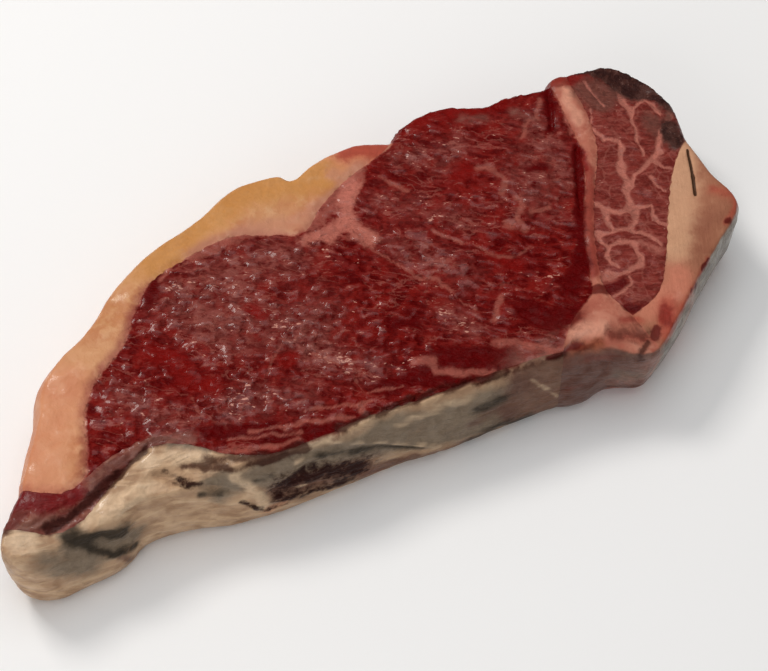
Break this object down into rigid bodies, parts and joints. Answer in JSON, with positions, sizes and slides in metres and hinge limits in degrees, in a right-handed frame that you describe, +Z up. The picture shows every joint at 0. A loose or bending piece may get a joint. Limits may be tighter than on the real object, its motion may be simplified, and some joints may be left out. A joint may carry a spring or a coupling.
{
  "type": "raw dry-aged club steak",
  "caption": "Thick raw beef steak on the bone: red eye muscle, fat cap along the back, marbled end muscle with dried crust, chine bone and rib with its membrane.",
  "frame": {"origin": "centre of the bounding box, on the lower cut face that rests on the table", "axes": "+X runs along the steak from the rib end to the chine bone, +Y from the rib side to the fat side, +Z up out of the upper cut face"},
  "size_m": [0.2356, 0.1122, 0.0298],
  "materials": {
    "cap_fat": "aged beef fat, golden to salmon, waxy with a soft sheen",
    "lean_meat": "dark red raw lean with a moist fibrous grain",
    "dark_meat": "dark brown-red lean, drier and finely streaked",
    "inner_fat": "pink inner fat with a soft sheen",
    "marbled_meat": "red lean islands in a net of pink fat, with a dry dark crust at one corner",
    "sawn_bone": "sawn bone, cream to tan, with red marrow stains",
    "rib_membrane": "cream to grey silverskin over the rib, wet and stretched, with brown dried patches"
  },
  "bodies": {
    "root": {"fat_cap": "cap_fat", "eye_muscle": "lean_meat", "flank_strip": "dark_meat", "seam_fat": "inner_fat", "chine_muscle": "marbled_meat", "chine_bone": "sawn_bone", "rib_bone": "rib_membrane"}
  },
  "joints": []
}
